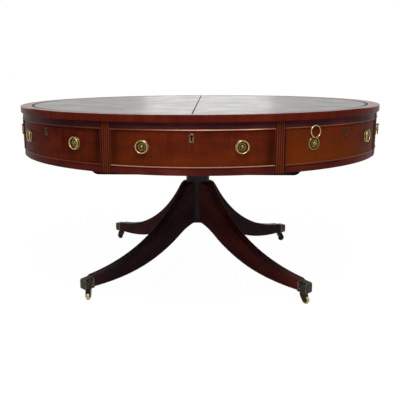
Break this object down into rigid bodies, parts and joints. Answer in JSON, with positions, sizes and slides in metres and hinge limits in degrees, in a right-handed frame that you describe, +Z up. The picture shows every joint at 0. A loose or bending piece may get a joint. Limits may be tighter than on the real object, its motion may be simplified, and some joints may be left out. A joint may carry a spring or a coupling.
{
  "type": "drum writing table",
  "caption": "Round mahogany library table with a leather top, curved drawers with ring pulls, a turning drum, and a column on sabre legs with toe cups and castors.",
  "frame": {"origin": "on the floor, on the axis of the column, which is also the centre of the round top", "axes": "+Z up, the first real drawer opens towards -Y, +X to the right of someone who faces that drawer"},
  "size_m": [1.5238, 1.5238, 0.762],
  "materials": {
    "mahogany_front": "french polished, figured mahogany",
    "mahogany_case": "french polished mahogany",
    "mahogany_edge": "french polished mahogany",
    "mahogany_crossband": "polished crossbanded veneer",
    "mahogany_leg": "dark polished mahogany",
    "oak": "plain, unpolished",
    "leather": "dark green, worn smooth",
    "brass": "aged, lacquered",
    "brass_castor": "aged and worn",
    "bronze_cup": "dark bronzed",
    "iron": "plain, dull"
  },
  "bodies": {
    "pedestal": {"column": "mahogany_leg", "leg_front_right": "mahogany_leg", "leg_rear_right": "mahogany_leg", "leg_rear_left": "mahogany_leg", "leg_front_left": "mahogany_leg", "toe_cups": "bronze_cup", "table_block": "mahogany_leg", "pivot_pin": "iron"},
    "castor_front_right": {"castor_horn_front_right": "brass_castor"},
    "wheel_front_right": {"castor_wheel_front_right": "brass_castor"},
    "castor_rear_right": {"castor_horn_rear_right": "brass_castor"},
    "wheel_rear_right": {"castor_wheel_rear_right": "brass_castor"},
    "castor_rear_left": {"castor_horn_rear_left": "brass_castor"},
    "wheel_rear_left": {"castor_wheel_rear_left": "brass_castor"},
    "castor_front_left": {"castor_horn_front_left": "brass_castor"},
    "wheel_front_left": {"castor_wheel_front_left": "brass_castor"},
    "drum": {"top_board": "mahogany_case", "top_lipping": "mahogany_edge", "top_crossbanding": "mahogany_crossband", "leather_panels": "leather", "drum_floor": "oak", "upper_rails": "mahogany_case", "lower_rails": "mahogany_case", "pilasters": "mahogany_case", "fixed_fronts": "mahogany_front", "fixed_fittings": "brass", "drawer_runners": "oak", "front_bearer": "mahogany_leg", "rear_bearer": "mahogany_leg", "cross_bearers": "oak", "pivot_block": "oak"},
    "drawer_front": {"drawer_front_front": "mahogany_front", "drawer_box_front": "oak", "drawer_fittings_front": "brass"},
    "drawer_right": {"drawer_front_right": "mahogany_front", "drawer_box_right": "oak", "drawer_fittings_right": "brass"},
    "drawer_rear": {"drawer_front_rear": "mahogany_front", "drawer_box_rear": "oak", "drawer_fittings_rear": "brass"},
    "drawer_left": {"drawer_front_left": "mahogany_front", "drawer_box_left": "oak", "drawer_fittings_left": "brass"},
    "drawer_ring_front_left": {"drawer_ring_front_left": "brass"},
    "drawer_ring_front_right": {"drawer_ring_front_right": "brass"},
    "drawer_ring_right_left": {"drawer_ring_right_left": "brass"},
    "drawer_ring_right_right": {"drawer_ring_right_right": "brass"},
    "drawer_ring_rear_left": {"drawer_ring_rear_left": "brass"},
    "drawer_ring_rear_right": {"drawer_ring_rear_right": "brass"},
    "drawer_ring_left_left": {"drawer_ring_left_left": "brass"},
    "drawer_ring_left_right": {"drawer_ring_left_right": "brass"},
    "fixed_ring_front_right_left": {"fixed_ring_front_right_left": "brass"},
    "fixed_ring_front_right_right": {"fixed_ring_front_right_right": "brass"},
    "fixed_ring_rear_right_left": {"fixed_ring_rear_right_left": "brass"},
    "fixed_ring_rear_right_right": {"fixed_ring_rear_right_right": "brass"},
    "fixed_ring_rear_left_left": {"fixed_ring_rear_left_left": "brass"},
    "fixed_ring_rear_left_right": {"fixed_ring_rear_left_right": "brass"},
    "fixed_ring_front_left_left": {"fixed_ring_front_left_left": "brass"},
    "fixed_ring_front_left_right": {"fixed_ring_front_left_right": "brass"}
  },
  "joints": [
    {"name": "drum_turn", "type": "hinge", "parent": "pedestal", "child": "drum", "pos_m": [0, 0, 0.506], "axis": [0, 0, 1], "continuous": true},
    {"name": "castor_front_right_swivel", "type": "hinge", "parent": "pedestal", "child": "castor_front_right", "pos_m": [0.4278, -0.4278, 0.047], "axis": [0, 0, 1], "continuous": true},
    {"name": "wheel_front_right_spin", "type": "hinge", "parent": "castor_front_right", "child": "wheel_front_right", "pos_m": [0.43628, -0.43628, 0.0165], "axis": [0.7071, 0.7071, 0], "continuous": true},
    {"name": "castor_rear_right_swivel", "type": "hinge", "parent": "pedestal", "child": "castor_rear_right", "pos_m": [0.4278, 0.4278, 0.047], "axis": [0, 0, 1], "continuous": true},
    {"name": "wheel_rear_right_spin", "type": "hinge", "parent": "castor_rear_right", "child": "wheel_rear_right", "pos_m": [0.43868, 0.43287, 0.0165], "axis": [-0.4226, 0.9063, 0], "continuous": true},
    {"name": "castor_rear_left_swivel", "type": "hinge", "parent": "pedestal", "child": "castor_rear_left", "pos_m": [-0.4278, 0.4278, 0.047], "axis": [0, 0, 1], "continuous": true},
    {"name": "wheel_rear_left_spin", "type": "hinge", "parent": "castor_rear_left", "child": "wheel_rear_left", "pos_m": [-0.43699, 0.43551, 0.0165], "axis": [-0.6428, -0.766, 0], "continuous": true},
    {"name": "castor_front_left_swivel", "type": "hinge", "parent": "pedestal", "child": "castor_front_left", "pos_m": [-0.4278, -0.4278, 0.047], "axis": [0, 0, 1], "continuous": true},
    {"name": "wheel_front_left_spin", "type": "hinge", "parent": "castor_front_left", "child": "wheel_front_left", "pos_m": [-0.4278, -0.4398, 0.0165], "axis": [1, 0, 0], "continuous": true},
    {"name": "drawer_front_slide", "type": "slide", "parent": "drum", "child": "drawer_front", "axis": [0, -1, 0], "range_m": [0, 0.34]},
    {"name": "drawer_right_slide", "type": "slide", "parent": "drum", "child": "drawer_right", "axis": [1, 0, 0], "range_m": [0, 0.34]},
    {"name": "drawer_rear_slide", "type": "slide", "parent": "drum", "child": "drawer_rear", "axis": [0, 1, 0], "range_m": [0, 0.34]},
    {"name": "drawer_left_slide", "type": "slide", "parent": "drum", "child": "drawer_left", "axis": [-1, 0, 0], "range_m": [0, 0.34]},
    {"name": "drawer_ring_front_left_swing", "type": "hinge", "parent": "drawer_front", "child": "drawer_ring_front_left", "pos_m": [-0.16363, -0.74422, 0.6785], "axis": [-0.9767, 0.2147, 0], "range_deg": [0, 184]},
    {"name": "drawer_ring_front_right_swing", "type": "hinge", "parent": "drawer_front", "child": "drawer_ring_front_right", "pos_m": [0.16363, -0.74422, 0.6785], "axis": [-0.9767, -0.2147, 0], "range_deg": [0, 184]},
    {"name": "drawer_ring_right_left_swing", "type": "hinge", "parent": "drawer_right", "child": "drawer_ring_right_left", "pos_m": [0.74422, -0.16363, 0.6785], "axis": [-0.2147, -0.9767, 0], "range_deg": [0, 184]},
    {"name": "drawer_ring_right_right_swing", "type": "hinge", "parent": "drawer_right", "child": "drawer_ring_right_right", "pos_m": [0.74422, 0.16363, 0.6785], "axis": [0.2147, -0.9767, 0], "range_deg": [0, 184]},
    {"name": "drawer_ring_rear_left_swing", "type": "hinge", "parent": "drawer_rear", "child": "drawer_ring_rear_left", "pos_m": [0.16363, 0.74422, 0.6785], "axis": [0.9767, -0.2147, 0], "range_deg": [0, 184]},
    {"name": "drawer_ring_rear_right_swing", "type": "hinge", "parent": "drawer_rear", "child": "drawer_ring_rear_right", "pos_m": [-0.16363, 0.74422, 0.6785], "axis": [0.9767, 0.2147, 0], "range_deg": [0, 184]},
    {"name": "drawer_ring_left_left_swing", "type": "hinge", "parent": "drawer_left", "child": "drawer_ring_left_left", "pos_m": [-0.74422, 0.16363, 0.6785], "axis": [0.2147, 0.9767, 0], "range_deg": [0, 184]},
    {"name": "drawer_ring_left_right_swing", "type": "hinge", "parent": "drawer_left", "child": "drawer_ring_left_right", "pos_m": [-0.74422, -0.16363, 0.6785], "axis": [-0.2147, 0.9767, 0], "range_deg": [0, 184]},
    {"name": "fixed_ring_front_right_left_swing", "type": "hinge", "parent": "drum", "child": "fixed_ring_front_right_left", "pos_m": [0.41054, -0.64195, 0.6785], "axis": [-0.8425, -0.5388, 0], "range_deg": [-184, 0]},
    {"name": "fixed_ring_front_right_right_swing", "type": "hinge", "parent": "drum", "child": "fixed_ring_front_right_right", "pos_m": [0.64195, -0.41054, 0.6785], "axis": [-0.5388, -0.8425, 0], "range_deg": [0, 184]},
    {"name": "fixed_ring_rear_right_left_swing", "type": "hinge", "parent": "drum", "child": "fixed_ring_rear_right_left", "pos_m": [0.64195, 0.41054, 0.6785], "axis": [0.5388, -0.8425, 0], "range_deg": [0, 184]},
    {"name": "fixed_ring_rear_right_right_swing", "type": "hinge", "parent": "drum", "child": "fixed_ring_rear_right_right", "pos_m": [0.41054, 0.64195, 0.6785], "axis": [0.8425, -0.5388, 0], "range_deg": [0, 184]},
    {"name": "fixed_ring_rear_left_left_swing", "type": "hinge", "parent": "drum", "child": "fixed_ring_rear_left_left", "pos_m": [-0.41054, 0.64195, 0.6785], "axis": [0.8425, 0.5388, 0], "range_deg": [0, 184]},
    {"name": "fixed_ring_rear_left_right_swing", "type": "hinge", "parent": "drum", "child": "fixed_ring_rear_left_right", "pos_m": [-0.64195, 0.41054, 0.6785], "axis": [0.5388, 0.8425, 0], "range_deg": [0, 184]},
    {"name": "fixed_ring_front_left_left_swing", "type": "hinge", "parent": "drum", "child": "fixed_ring_front_left_left", "pos_m": [-0.64195, -0.41054, 0.6785], "axis": [-0.5388, 0.8425, 0], "range_deg": [0, 184]},
    {"name": "fixed_ring_front_left_right_swing", "type": "hinge", "parent": "drum", "child": "fixed_ring_front_left_right", "pos_m": [-0.41054, -0.64195, 0.6785], "axis": [-0.8425, 0.5388, 0], "range_deg": [0, 184]}
  ]
}
